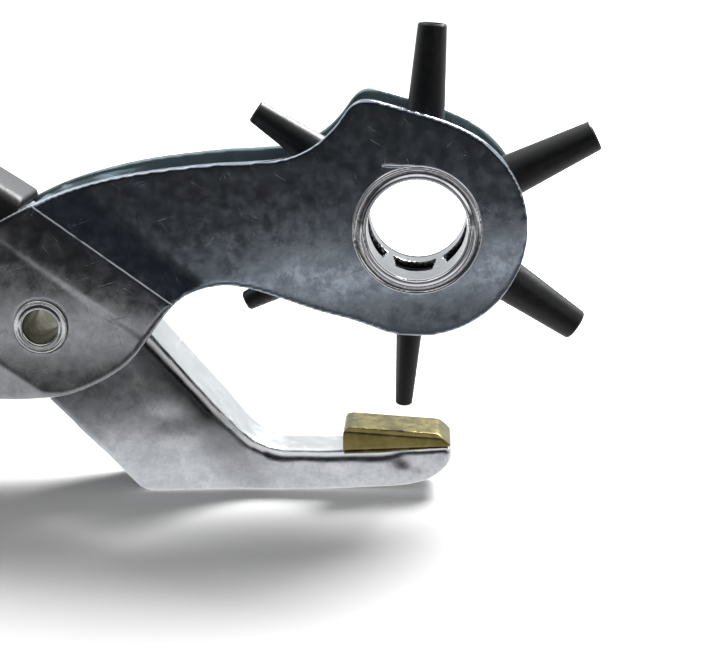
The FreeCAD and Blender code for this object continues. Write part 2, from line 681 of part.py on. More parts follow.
def opening_spring():
    """Wire wound about the pivot axis with two straight tangent legs."""
    radius, pitch = size["coil_rad"], size["coil_pitch"]
    lead = pitch / (2 * math.pi)        # advance along Y per radian

    def touch(point, sign):
        """Angle at which a tangent from the point meets the coil's mean circle."""
        distance = math.hypot(point.x, point.z)
        return math.atan2(point.z, point.x) + sign * math.acos(radius / distance)

    angle_in = touch(LEG_ON_FRAME, 1)
    angle_out = touch(LEG_ON_ANVIL, -1)
    while angle_in > 0:
        angle_in -= 2 * math.pi
    while angle_out < angle_in + 4 * math.pi:       # at least two full turns
        angle_out += 2 * math.pi
    sweep = angle_out - angle_in
    start_y = COIL_MID_Y - lead * sweep / 2

    def coil_point(angle):
        y = start_y + lead * (angle - angle_in)
        return Vector(radius * math.cos(angle), y, radius * math.sin(angle))

    def coil_direction(angle):
        return Vector(-radius * math.sin(angle), lead, radius * math.cos(angle)).normalize()

    def leg_length(leg, end):
        return math.hypot(leg.x - end.x, leg.z - end.z)

    start, stop = coil_point(angle_in), coil_point(angle_out)
    along_in, along_out = coil_direction(angle_in), coil_direction(angle_out)
    tip_in = start - along_in * leg_length(LEG_ON_FRAME, start)
    tip_out = stop + along_out * leg_length(LEG_ON_ANVIL, stop)
    helix = Part.makeHelix(pitch, pitch * (sweep / (2 * math.pi)), radius, 0, True)
    helix.rotate(Vector(0, 0, 0), Vector(1, 0, 0), -90)
    helix.rotate(Vector(0, 0, 0), Vector(0, 1, 0), -math.degrees(angle_in))
    helix.translate(Vector(0, start_y, 0))
    path = Part.Wire([Part.LineSegment(tip_in, start).toShape()] + helix.Edges
                     + [Part.LineSegment(stop, tip_out).toShape()])
    section = Part.Wire([Part.Circle(tip_in, along_in, size["wire_dia"] / 2).toShape()])
    coil = path.makePipeShell([section], True, True)
    if len(coil.Solids) != 1:
        raise RuntimeError("the spring is in %d pieces" % len(coil.Solids))
    keep(operation("Feature", "opening_spring_wire", Shape=coil.Solids[0]), "opening_spring")


# ---------------------------------------------------------------- turret
def hub_sleeve():
    """Rolled sleeve through the hub, with a slug window for each punch."""
    profile = eyelet("sleeve", mouth=0.55, bead=0.95, relief=(-2.3, 0.1))
    sleeve = turned_on_turret("hub_sleeve", profile, turn=TURRET_TURN)
    # The first window faces the sleeve's own -Z; sketch x runs across it, sketch y along the tube.
    window = body_sketch(sleeve, "XY_Plane", "window_hub_sleeve")
    near, far = dim("window_near"), dim("window_far")
    near_half, far_half = dim("window_near_half"), dim("window_far_half")
    bind_polygon(window, [(-near_half, near), (near_half, near), (far_half, far),
                          (-far_half, far)])
    pocket_ring(sleeve, window, "cut_hub_sleeve", "ring_hub_sleeve", 12)
    keep(sleeve, "hub_sleeve")


def dimple_offset(angle):
    """Cosine and sine of a dimple's direction, from degrees."""
    return math.cos(math.radians(angle)), math.sin(math.radians(angle))


def turret_hub():
    """Hub block with punch sockets round it and index dimples in its rear face."""
    bore, outside, half = dim("sleeve_tube_rad"), dim("hub_rad"), dim("hub_half")
    bevel = 0.5
    hub = turned_on_turret("turret_hub", [
        (bore, -half), (outside - bevel, -half), (outside, -half + bevel),
        (outside, half - bevel), (outside - bevel, half), (bore, half)], turn=TURRET_TURN)
    socket = body_sketch(hub, "XY_Plane", "socket_turret_hub")
    bind_circle(socket, "socket_rad")
    pocket_ring(hub, socket, "drill_turret_hub", "ring_turret_hub", 20)
    balls = []
    for k in range(PUNCH_COUNT):
        cosine, sine = dimple_offset(NUB_ANGLE + PUNCH_STEP * k)
        ball = operation("Sphere", "dimple_ball_%d" % (k + 1), Radius=1.15)
        ball.setExpression("Placement.Base.x", "Dims.turret_x + Dims.dimple_ring * %r" % cosine)
        ball.setExpression("Placement.Base.y", "Dims.hub_half + 0.45")
        ball.setExpression("Placement.Base.z", "Dims.turret_z + Dims.dimple_ring * %r" % sine)
        balls.append(ball)
    ball_set = operation("MultiFuse", "dimple_balls", Shapes=balls)
    keep(operation("Cut", "hub_dimpled", Base=hub, Tool=ball_set), "turret_hub")


def thrust_washers():
    for label, side in (("thrust_washer_front", -1.0), ("thrust_washer_rear", 1.0)):
        profile = tube_profile(dim("sleeve_tube_rad"), dim("thrust_rad"),
                               dim("thrust_in") * side, dim("thrust_out") * side)
        keep(turned_on_turret(label, profile), label)


PUNCHES = [  # bore, tip diameter, diameter where the taper leaves the head's round
    (2.0, 3.0, 4.7), (4.5, 5.5, 7.5), (4.0, 5.3, 7.2),
    (3.5, 4.9, 6.5), (3.0, 4.0, 6.6), (2.5, 3.5, 5.5)]
TAPER_MAX_RAD = 3.85
COLLAR_RAD = 4.2
FOOT_BORE_RAD = 2.75


def punch_tubes():
    """Tapered tubes, each pointing outwards from the turret axis."""
    reach, foot = dim("punch_reach"), dim("punch_foot")
    seat, collar = dim("punch_seat"), dim("punch_collar")
    socket, shoulder = dim("socket_rad"), seat + 0.01
    for k, (bore, tip, base) in enumerate(PUNCHES):
        growth = (base - tip) / (size["punch_reach"] - size["head_rad"]) / 2
        taper = tip / 2 + growth * (size["punch_reach"] - size["punch_collar"])
        taper = min(taper, TAPER_MAX_RAD)
        relief = bore / 2 + 0.45
        profile = [
            (bore / 2, reach), (tip / 2 - 0.25, reach), (tip / 2, reach - 0.3),
            (taper, collar), (taper, collar - 0.4), (COLLAR_RAD, collar - 0.7),
            (COLLAR_RAD, shoulder), (socket, shoulder), (socket, foot), (FOOT_BORE_RAD, foot),
            (FOOT_BORE_RAD, seat), (relief, seat + 1.2), (relief, reach - 8.0),
            (bore / 2, reach - 7.0)]
        label = "punch_tube_%smm" % str(bore).replace(".", "_")
        turn = 90.0 - (FIRST_PUNCH + PUNCH_STEP * k)
        keep(turned_on_turret(label, profile, axial="Z", turn=turn), label)


# ---------------------------------------------------------------- index spring and its rivet
def index_spring():
    """Tapered leaf from its rivet to the first dimple, with a round nub at the tip."""
    root_rad, tip_rad = 3.4, 1.25
    root_x, root_z = size["leaf_rivet_x"], size["leaf_rivet_z"]
    cosine, sine = dimple_offset(NUB_ANGLE)
    nub_x = size["turret_x"] + size["dimple_ring"] * cosine
    nub_z = size["turret_z"] + size["dimple_ring"] * sine
    length = math.hypot(nub_x - root_x, nub_z - root_z)
    unit_x, unit_z = (nub_x - root_x) / length, (nub_z - root_z) / length

    def on_leaf(along, across):
        return (root_x + unit_x * along - unit_z * across,
                root_z + unit_z * along + unit_x * across)

    sketch = doc.addObject("Sketcher::SketchObject", "outline_index_spring")
    sketch.Placement = SIDE_VIEW
    heading, quarter = math.atan2(unit_z, unit_x), math.pi / 2
    for item in (
            arc((root_x, root_z), root_rad, heading + quarter, heading + 3 * quarter),
            segment(on_leaf(0, -root_rad), on_leaf(length, -tip_rad)),
            arc((nub_x, nub_z), tip_rad, heading - quarter, heading + quarter),
            segment(on_leaf(length, tip_rad), on_leaf(0, root_rad))):
        sketch.addGeometry(item, False)
    plate = operation("Extrusion", "plate_index_spring", {"LengthFwd": dim("leaf_thk")},
                      Base=sketch, DirMode="Custom", Dir=Vector(0, 1, 0), Solid=True)
    inner_y = size["leaf_face"] - size["leaf_thk"]
    plate.Placement.Base = Vector(0, inner_y, 0)
    plate.setExpression("Placement.Base.y", "Dims.leaf_face - Dims.leaf_thk")

    nub = operation("Sphere", "nub_index_spring", Radius=1.0)
    nub.Placement.Base = Vector(nub_x, inner_y + 0.15, nub_z)
    hole = cross_cylinder("hole_index_spring", dim("leaf_rivet_rad"), dim("leaf_rivet_x"),
                          dim("leaf_rivet_z"), 4, 6)
    trim = box("trim_index_spring", 8, 4, 8)    # keeps the nub short of the frame's cheek
    trim.Placement.Base = Vector(nub_x - 4, size["leaf_face"] - 0.02, nub_z - 4)
    trimmed = operation("Cut", "nub_trimmed", Base=nub, Tool=trim)
    blank = operation("MultiFuse", "index_spring_blank", Shapes=[plate, trimmed])
    keep(operation("Cut", "index_spring_drilled", Base=blank, Tool=hole), "index_spring")


def index_spring_rivet():
    inner, outer = dim("leaf_face") - dim("leaf_thk"), dim("head_half")
    shank = dim("leaf_rivet_rad")
    rivet = turned("index_spring_rivet", [
        (0, inner - 0.75), (1.2, inner - 0.7), (2.1, inner - 0.3), (2.2, inner), (shank, inner),
        (shank, outer), (2.3, outer), (2.2, outer + 0.35), (1.2, outer + 0.68),
        (0, outer + 0.72)])
    bind_place(rivet, x="leaf_rivet_x", z="leaf_rivet_z")
    keep(rivet, "index_spring_rivet")


# ---------------------------------------------------------------- grips
GRIP_END = TAIL_X - 3.0
GRIP_ROUND = 2.4


def is_grip_edge(edge):
    """Long edges of the side faces, and the upright edges of the tail end."""
    bounds = edge.BoundBox
    along = bounds.YLength < 1e-3 and abs(bounds.YMin) > 4 and bounds.XLength > 25
    return along or (bounds.XMax < GRIP_END + 0.01 and bounds.XLength < 0.01)


def finish_grip(label, blank, front, arm):
    """Cut the jaw end off with the box, round the edges and take out the solid arm."""
    cut = operation("Cut", label + "_cut", Base=blank, Tool=front)
    rounded = soften(cut, is_grip_edge, GRIP_ROUND, label + "_round")
    keep(operation("Cut", label + "_hollow", Base=rounded, Tool=arm), label)


def upper_grip(arm):
    """Grip over the anvil arm's handle."""
    skin = size["grip_skin"]
    top = offset_points(ANVIL_WEB[:7], skin)
    low = offset_points([point for point in ANVIL_LOW if point[0] <= -11], skin)
    top[0] = (GRIP_END, top[0][1] - 0.4)
    low[-1] = (GRIP_END, low[-1][1] - 0.4)
    blank = side_blank("upper_grip", [
        curve(top), *chain(top[-1], (8, 14), (0, -2), low[0]), curve(low),
        segment(low[-1], top[0])], span=dim("upper_grip_half") * 2)
    front = box("front_upper_grip", 60, 60, 60)     # its own -X face is the grip's jaw end
    turn = Rotation(Vector(0, 1, 0), 31)
    front.Placement = Placement(Vector(-2.3, -30, 20.1) + turn.multVec(Vector(0, 0, -30)), turn)
    finish_grip("upper_grip", blank, front, arm)


def lower_grip(arm):
    """Grip over the turret frame's handle, its jaw end parallel to the crease."""
    low_z = -31.5
    low = offset_points(FRAME_WEB[:8], -2.0)
    top = offset_points(FRAME_TOP[-9:], -size["grip_skin"])
    low[0] = (GRIP_END, low_z)
    low[1] = (low[1][0], low_z)
    top[-1] = (GRIP_END, top[-1][1])
    blank = side_blank("lower_grip", [
        curve(low), *chain(low[-1], (6, -10), (6, 20), top[0]), curve(top),
        segment(top[-1], low[0])], span=dim("lower_grip_half") * 2)
    front = box("front_lower_grip", 80, 80, 120)
    turn = Rotation(Vector(0, 1, 0), CREASE_TURN)
    front.Placement = Placement(turn.multVec(Vector(-24.0, -40, -60)), turn)
    finish_grip("lower_grip", blank, front, arm)


# ---------------------------------------------------------------- build, check and export
frame_outer = turret_frame()
anvil_outer = anvil_arm()
anvil_pad()
anvil_rivet()
pivot()
opening_spring()
hub_sleeve()
turret_hub()
thrust_washers()
punch_tubes()
index_spring()
index_spring_rivet()
upper_grip(anvil_outer)
lower_grip(frame_outer)

doc.recompute()
failed = [obj.Name for obj in doc.Objects if "Invalid" in obj.State or "Error" in obj.State]
if failed:
    raise RuntimeError("failed objects: %s" % failed)
for piece in pieces:
    if piece.Shape.isNull() or not piece.Shape.isValid() or not piece.Shape.Solids:
        raise RuntimeError("bad shape: " + piece.Label)
for piece in pieces:
    piece.Shape.exportStep("parts/%s.step" % piece.Label)
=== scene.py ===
import bpy, bmesh, math, json
import numpy as np
from mathutils import Vector, Matrix, Quaternion

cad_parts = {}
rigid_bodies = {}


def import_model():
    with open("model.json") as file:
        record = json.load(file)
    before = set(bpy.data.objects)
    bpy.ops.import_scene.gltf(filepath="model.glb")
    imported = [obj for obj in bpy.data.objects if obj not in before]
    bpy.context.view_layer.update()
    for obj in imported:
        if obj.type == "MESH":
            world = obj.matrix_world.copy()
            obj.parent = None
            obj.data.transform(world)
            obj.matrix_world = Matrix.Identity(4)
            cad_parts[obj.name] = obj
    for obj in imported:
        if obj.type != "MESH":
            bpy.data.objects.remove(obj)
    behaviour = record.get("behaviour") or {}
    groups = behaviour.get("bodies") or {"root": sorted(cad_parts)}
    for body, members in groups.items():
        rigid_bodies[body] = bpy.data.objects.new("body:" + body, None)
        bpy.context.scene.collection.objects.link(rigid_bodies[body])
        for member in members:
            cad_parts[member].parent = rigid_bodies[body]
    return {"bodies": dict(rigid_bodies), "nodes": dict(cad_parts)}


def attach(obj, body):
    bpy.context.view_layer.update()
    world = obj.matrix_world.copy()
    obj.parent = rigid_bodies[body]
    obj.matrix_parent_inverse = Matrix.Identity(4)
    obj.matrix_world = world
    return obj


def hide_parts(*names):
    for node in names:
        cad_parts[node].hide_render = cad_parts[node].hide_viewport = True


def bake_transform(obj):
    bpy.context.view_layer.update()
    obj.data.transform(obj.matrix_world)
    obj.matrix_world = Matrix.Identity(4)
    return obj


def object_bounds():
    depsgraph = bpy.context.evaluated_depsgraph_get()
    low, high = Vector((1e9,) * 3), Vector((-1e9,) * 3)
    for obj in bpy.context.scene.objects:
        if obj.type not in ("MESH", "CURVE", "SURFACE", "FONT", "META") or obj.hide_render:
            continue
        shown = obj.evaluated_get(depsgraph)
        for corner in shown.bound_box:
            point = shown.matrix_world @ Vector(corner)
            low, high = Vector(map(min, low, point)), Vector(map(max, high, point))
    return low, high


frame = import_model()
CAD_LO, CAD_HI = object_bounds()
N = frame["nodes"]
MM = 0.001


# ------------------------------------------------------------------ node helpers
class Mat:
    """Small builder for node materials."""

    def __init__(self, name):
        self.m = bpy.data.materials.new(name)
        self.m.use_nodes = True
        self.t = self.m.node_tree
        self.b = self.t.nodes["Principled BSDF"]
        self.co = self.t.nodes.new("ShaderNodeTexCoord").outputs["Object"]

    def node(self, kind, **kw):
        n = self.t.nodes.new(kind)
        for k, v in kw.items():
            setattr(n, k, v)
        return n

    def put(self, sock, v):
        if isinstance(v, bpy.types.NodeSocket):
            self.t.links.new(v, sock)
        elif isinstance(v, (tuple, list)) and len(v) == 3 and sock.type == "RGBA":
            sock.default_value = (*v, 1)
        else:
            sock.default_value = v

    def scale(self, s, rot=(0, 0, 0)):
        n = self.node("ShaderNodeMapping")
        self.put(n.inputs["Vector"], self.co)
        n.inputs["Scale"].default_value = s if isinstance(s, (tuple, list)) else (s, s, s)
        n.inputs["Rotation"].default_value = rot
        return n.outputs[0]

    def noise(self, vec, scale=1.0, detail=3.0, rough=0.55, dist=0.0, out="Fac"):
        n = self.node("ShaderNodeTexNoise")
        self.put(n.inputs["Vector"], vec)
        n.inputs["Scale"].default_value = scale
        n.inputs["Detail"].default_value = detail
        n.inputs["Roughness"].default_value = rough
        n.inputs["Distortion"].default_value = dist
        return n.outputs["Fac" if out == "Fac" else "Color"]

    def voro(self, vec, scale=1.0, feature="F1", out="Distance", rand=1.0):
        n = self.node("ShaderNodeTexVoronoi", feature=feature)
        self.put(n.inputs["Vector"], vec)
        n.inputs["Scale"].default_value = scale
        n.inputs["Randomness"].default_value = rand
        return n.outputs[out]

    def ramp(self, fac, stops, interp="LINEAR"):
        n = self.node("ShaderNodeValToRGB")
        n.color_ramp.interpolation = interp
        e = n.color_ramp.elements
        while len(e) < len(stops):
            e.new(0.5)
        for el, (p, c) in zip(e, stops):
            el.position = p
            el.color = (c, c, c, 1) if isinstance(c, (int, float)) else (*c, 1)
        self.put(n.inputs[0], fac)
        return n.outputs[0]

    def remap(self, v, a, b, c, d):
        n = self.node("ShaderNodeMapRange")
        self.put(n.inputs[0], v)
        for i, x in enumerate((a, b, c, d)):
            self.put(n.inputs[i + 1], x)
        return n.outputs[0]

    def math(self, op, a, b=0.0, c=None):
        n = self.node("ShaderNodeMath", operation=op)
        self.put(n.inputs[0], a)
        self.put(n.inputs[1], b)
        if c is not None:
            self.put(n.inputs[2], c)
        return n.outputs[0]

    def mix(self, f, a, b, blend="MIX"):
        n = self.node("ShaderNodeMix", data_type="RGBA", blend_type=blend)
        self.put(n.inputs[0], f)
        self.put(n.inputs[6], a if isinstance(a, bpy.types.NodeSocket) else (*a, 1))
        self.put(n.inputs[7], b if isinstance(b, bpy.types.NodeSocket) else (*b, 1))
        return n.outputs[2]

    def bump(self, h, dist, strength=1.0, normal=None):
        n = self.node("ShaderNodeBump")
        n.inputs["Strength"].default_value = strength
        n.inputs["Distance"].default_value = dist
        self.put(n.inputs["Height"], h)
        if normal is not None:
            self.put(n.inputs["Normal"], normal)
        return n.outputs[0]

    def axis(self, which):
        n = self.node("ShaderNodeSeparateXYZ")
        self.put(n.inputs[0], self.co)
        return n.outputs[which]

    def edge(self, radius):
        """0 on flats, towards 1 on edges, from a rounded normal."""
        bv = self.node("ShaderNodeBevel", samples=4)
        bv.inputs["Radius"].default_value = radius
        g = self.node("ShaderNodeNewGeometry")
        d = self.node("ShaderNodeVectorMath", operation="DOT_PRODUCT")
        self.put(d.inputs[0], bv.outputs[0])
        self.put(d.inputs[1], g.outputs["Normal"])
        return self.remap(d.outputs["Value"], 1.0, 0.85, 0.0, 1.0)

    def end(self, **kw):
        for k, v in kw.items():
            self.put(self.b.inputs[k.replace("_", " ")], v)
        return self.m


def scratches(m, spec):
    """Short straight handling marks. Each entry is angle, length cell, width cell, half width as a share of the cell, share of cells used."""
    total = None
    for ang, length, width, size, share in spec:
        turn = m.node("ShaderNodeMapping")
        m.put(turn.inputs["Vector"], m.co)
        turn.inputs["Rotation"].default_value = (0.0, ang, 0.0)
        st = m.node("ShaderNodeMapping")
        m.put(st.inputs["Vector"], turn.outputs[0])
        st.inputs["Scale"].default_value = (1000.0 / length, 12.0, 1000.0 / width)
        n = m.node("ShaderNodeTexVoronoi", feature="F1")
        m.put(n.inputs["Vector"], st.outputs[0])
        n.inputs["Scale"].default_value = 1.0
        pick = m.node("ShaderNodeSeparateColor")
        m.put(pick.inputs[0], n.outputs["Color"])
        line = m.remap(n.outputs["Distance"], size * 0.35, size, 1.0, 0.0)
        line = m.math("MULTIPLY", line, m.remap(pick.outputs[0], 1.0 - share, 1.0 - share * 0.4, 0.0, 1.0))
        total = line if total is None else m.math("MAXIMUM", total, line)
    return total


def zinc(name, dark, light, rough, shade, marks=1.0, dents=0.0, frame_part=False, arm_part=False):
    m = Mat(name)
    v = m.scale(1000.0)
    cloud = m.noise(v, 0.085, 3, 0.55)
    mottle = m.noise(v, 0.42, 5, 0.62, 0.15)
    fine = m.noise(v, 2.6, 4, 0.65)
    base = m.mix(m.ramp(mottle, [(0.30, 0.0), (0.72, 1.0)]), dark, light)
    base = m.mix(m.remap(cloud, 0.38, 0.62, 0.0, 0.45), base, shade)
    marks_a = scratches(m, ((0.30, 14.0, 0.55, 0.17, 0.40), (-0.55, 11.0, 0.5, 0.16, 0.35), (1.10, 9.0, 0.5, 0.15, 0.35), (2.25, 10.0, 0.5, 0.15, 0.35),
                            (-1.25, 7.0, 0.45, 0.17, 0.30), (0.85, 5.0, 0.4, 0.18, 0.35)))
    rub = m.ramp(m.noise(v, 0.12, 3, 0.6), [(0.40, 0.25), (0.62, 1.0)])
    marks_a = m.math("MULTIPLY", marks_a, rub)
    base = m.mix(m.math("MULTIPLY", marks_a, 0.42 * marks), base, (0.80, 0.81, 0.83))
    # pin-point corrosion specks
    spk = m.ramp(m.voro(v, 0.55), [(0.0, 1.0), (0.13, 0.0)])
    spk = m.math("MULTIPLY", spk, m.ramp(m.noise(v, 0.25, 2), [(0.52, 0.0), (0.62, 1.0)]))
    base = m.mix(m.math("MULTIPLY", spk, 0.25), base, (0.70, 0.71, 0.71))
    patch = m.ramp(m.noise(v, 0.33, 4, 0.75, 0.1), [(0.42, 0.0), (0.60, 1.0)])
    base = m.mix(m.math("MULTIPLY", patch, 0.22), base, (0.22, 0.25, 0.30))
    grain = m.ramp(m.noise(v, 1.5, 4, 0.7), [(0.36, 1.0), (0.56, 0.0)])
    base = m.mix(m.math("MULTIPLY", grain, 0.20 * marks), base, (0.20, 0.22, 0.25))
    r = m.remap(mottle, 0.3, 0.7, rough - 0.04, rough + 0.07)
    r = m.math("ADD", r, m.math("MULTIPLY", patch, 0.06))
    r = m.math("ADD", r, m.math("MULTIPLY", marks_a, 0.20 * marks))
    r = m.math("ADD", r, m.math("MULTIPLY", spk, 0.12))
    h = m.math("ADD", m.math("MULTIPLY", fine, 0.16), m.math("MULTIPLY", mottle, 0.7))
    h = m.math("SUBTRACT", h, m.math("MULTIPLY", marks_a, 0.28 * marks))
    nrm = m.bump(h, 0.00002, 0.5)
    nrm = m.bump(m.noise(v, 0.055, 2, 0.5), 0.0007, 0.20 + dents, nrm)
    if frame_part:
        sep = m.node("ShaderNodeSeparateXYZ")
        m.put(sep.inputs[0], m.co)
        # the crease line: rubbed plating, brighter and rougher, plus a painted highlight that fades in from Z = 0 to 4
        # mm, where the crease catches the light
        u = m.math("ADD", m.math("MULTIPLY", sep.outputs[0], 587.0), m.math("MULTIPLY", sep.outputs[2], 809.0))
        off = m.math("ABSOLUTE", m.math("SUBTRACT", u, 16.45))
        line = m.remap(off, 0.03, 0.15, 1.0, 0.0)
        side = m.remap(m.math("ABSOLUTE", sep.outputs[1]), 0.0102, 0.0106, 0.0, 1.0)
        low = m.remap(sep.outputs[2], 0.0, 0.004, 0.0, 1.0)
        worn = m.ramp(m.noise(v, 0.7, 3), [(0.30, 0.45), (0.60, 1.0)])
        line = m.math("MULTIPLY", m.math("MULTIPLY", line, side), m.math("MULTIPLY", low, worn))
        base = m.mix(m.math("MULTIPLY", line, 0.8), base, (0.85, 0.85, 0.85))
        r = m.math("ADD", r, m.math("MULTIPLY", line, 0.40))
        nrm = m.bump(line, 0.00009, 0.6, nrm)
        # painted shade and a painted green reflection: the inner face of the far cheek gets a darker teal base, and is
        # rougher
        gn = m.node("ShaderNodeNewGeometry")
        ny = m.node("ShaderNodeSeparateXYZ")
        m.put(ny.inputs[0], gn.outputs["Normal"])
        far = m.math("MULTIPLY", m.remap(sep.outputs[1], 0.004, 0.007, 0.0, 0.75), m.remap(ny.outputs[1], -0.2, 0.3, 1.0, 0.0))
        base = m.mix(far, base, (0.16, 0.22, 0.22))
        r = m.math("ADD", r, m.math("MULTIPLY", far, 0.28))
        # round the pivot the near cheek gets a greyer, darker base without the blue cast
        lap = m.remap(u, 12.5, 17.5, 0.85, 0.0)
        lap = m.math("MULTIPLY", lap, m.remap(sep.outputs[1], 0.0, 0.004, 1.0, 0.0))
        base = m.mix(lap, base, m.mix(m.remap(mottle, 0.3, 0.7, 0.0, 1.0), (0.22, 0.225, 0.225), (0.35, 0.35, 0.345)))
    if arm_part:
        sep = m.node("ShaderNodeSeparateXYZ")
        m.put(sep.inputs[0], m.co)
        gn = m.node("ShaderNodeNewGeometry")
        ny = m.node("ShaderNodeSeparateXYZ")
        m.put(ny.inputs[0], gn.outputs["Normal"])
        side = m.remap(m.math("ABSOLUTE", ny.outputs[1]), 0.60, 0.93, 0.0, 1.0)
        # painted highlight: every face that doesn't face sideways (web, pad seat, underside) gets a near-white base
        base = m.mix(m.math("SUBTRACT", 0.85, m.math("MULTIPLY", side, 0.85)), base, (0.88, 0.88, 0.88))
        # painted shade on the arm's sides: darkest along the throat under the cheek and next to the pivot
        fall = m.math("ADD", m.math("MULTIPLY", sep.outputs[0], 754.0), m.math("MULTIPLY", sep.outputs[2], 656.6))
        throat_shade = m.remap(m.math("ADD", fall, m.math("MULTIPLY", m.math("SUBTRACT", cloud, 0.5), 6.0)), 2.5, 9.0, 0.0, 0.95)
        rho = m.node("ShaderNodeVectorMath", operation="LENGTH")
        m.put(rho.inputs[0], m.co)
        pivot_shade = m.remap(m.math("ADD", rho.outputs["Value"], m.math("MULTIPLY", m.math("SUBTRACT", mottle, 0.5), 0.006)), 0.015, 0.027, 0.72, 0.0)
        throat_pivot_shade = m.math("MULTIPLY", m.math("MAXIMUM", throat_shade, pivot_shade), m.remap(sep.outputs[0], 0.028, 0.040, 1.0, 0.0))
        base = m.mix(m.math("MULTIPLY", throat_pivot_shade, side), base, (0.085, 0.09, 0.095))
    return m.end(Base_Color=base, Metallic=1.0, Roughness=r, Normal=nrm)


M_FRAME = zinc("zinc_frame", (0.36, 0.41, 0.47), (0.51, 0.56, 0.61), 0.12, (0.29, 0.34, 0.41), 0.95, 0.0, True)
M_ANVIL = zinc("zinc_anvil", (0.58, 0.60, 0.61), (0.74, 0.75, 0.75), 0.17, (0.50, 0.52, 0.54), 0.6, 0.25, arm_part=True)


def turned_steel(name, col, col2, rough, stain=None, calm=1.0):
    m = Mat(name)
    v = m.scale(1000.0)
    a = m.noise(v, 0.8, 4, 0.6)
    rings = m.noise(m.scale((150.0, 6000.0, 150.0)), 1.0, 2, 0.5)
    base = m.mix(m.ramp(a, [(0.35, 0.0), (0.7, 1.0)]), col, col2)
    if stain:
        base = m.mix(m.ramp(m.noise(v, 0.5, 3, 0.6, 0.5), [(0.35, 0.0), (0.55, 1.0)]), base, stain)
    r = m.remap(m.noise(v, 2.0, 3), 0.3, 0.7, rough - 0.05, rough + 0.1)
    n = m.bump(m.math("ADD", rings, m.math("MULTIPLY", a, 0.6)), 0.00003 * calm, 0.5)
    if calm < 1.0:
        # painted light on the sleeve: the end faces get a lighter base as a painted highlight, the body and bore
        # between the cheeks a darker base as painted shade
        face = m.remap(m.math("ABSOLUTE", m.axis(1)), 0.0088, 0.0094, 0.0, 1.0)
        base = m.mix(face, m.mix(0.45, base, (0.20, 0.20, 0.21)), m.mix(0.7, base, (0.92, 0.92, 0.93)))
        r = m.math("SUBTRACT", r, m.math("MULTIPLY", face, 0.04))
        n = m.bump(m.math("MULTIPLY", m.math("ADD", rings, m.math("MULTIPLY", a, 0.6)), m.math("SUBTRACT", 1.0, face)), 0.00003 * calm, 0.5)
        # painted shade: a dark line where the bore turns into the far bead
        flat = m.node("ShaderNodeVectorMath", operation="MULTIPLY")
        m.put(flat.inputs[0], m.co)
        flat.inputs[1].default_value = (1.0, 0.0, 1.0)
        rad = m.node("ShaderNodeVectorMath", operation="DISTANCE")
        m.put(rad.inputs[0], flat.outputs[0])
        rad.inputs[1].default_value = (0.064, 0.0, 0.0169)
        far_bore_shade = m.math("MULTIPLY", m.remap(m.axis(1), 0.0086, 0.0088, 0.0, 1.0), m.remap(rad.outputs["Value"], 0.0088, 0.0090, 1.0, 0.0))
        base = m.mix(far_bore_shade, base, (0.02, 0.02, 0.02))
    return m.end(Base_Color=base, Metallic=1.0, Roughness=r, Normal=n)


M_SLEEVE = turned_steel("rolled_steel_sleeve", (0.50, 0.51, 0.53), (0.62, 0.63, 0.65), 0.16, calm=0.35)
M_WASHER = turned_steel("plain_washer_steel", (0.45, 0.46, 0.48), (0.58, 0.59, 0.60), 0.30)
M_SPRING = turned_steel("spring_wire_steel", (0.22, 0.23, 0.25), (0.34, 0.34, 0.36), 0.26)


def rivet_mat():
    m = Mat("rivet_yellow_bore")
    v = m.scale(1000.0)
    a = m.noise(v, 0.9, 4, 0.6)
    steel = m.mix(m.ramp(a, [(0.35, 0.0), (0.7, 1.0)]), (0.70, 0.70, 0.69), (0.86, 0.86, 0.84))
    yellow = m.mix(m.ramp(m.noise(v, 0.45, 3, 0.6, 0.8), [(0.35, 0.0), (0.65, 1.0)]), (0.07, 0.062, 0.032), (0.17, 0.155, 0.085))
    rad = m.node("ShaderNodeVectorMath", operation="LENGTH")
    sc = m.node("ShaderNodeVectorMath", operation="MULTIPLY")
    m.put(sc.inputs[0], m.co)
    sc.inputs[1].default_value = (1000.0, 0.0, 1000.0)
    m.put(rad.inputs[0], sc.outputs[0])
    inside = m.remap(rad.outputs["Value"], 3.02, 3.16, 1.0, 0.0)
    base = m.mix(inside, steel, yellow)
    r = m.remap(a, 0.3, 0.7, 0.10, 0.22)
    return m.end(Base_Color=base, Metallic=1.0, Roughness=r, Normal=m.bump(a, 0.00003, 0.5))


M_RIVET = rivet_mat()


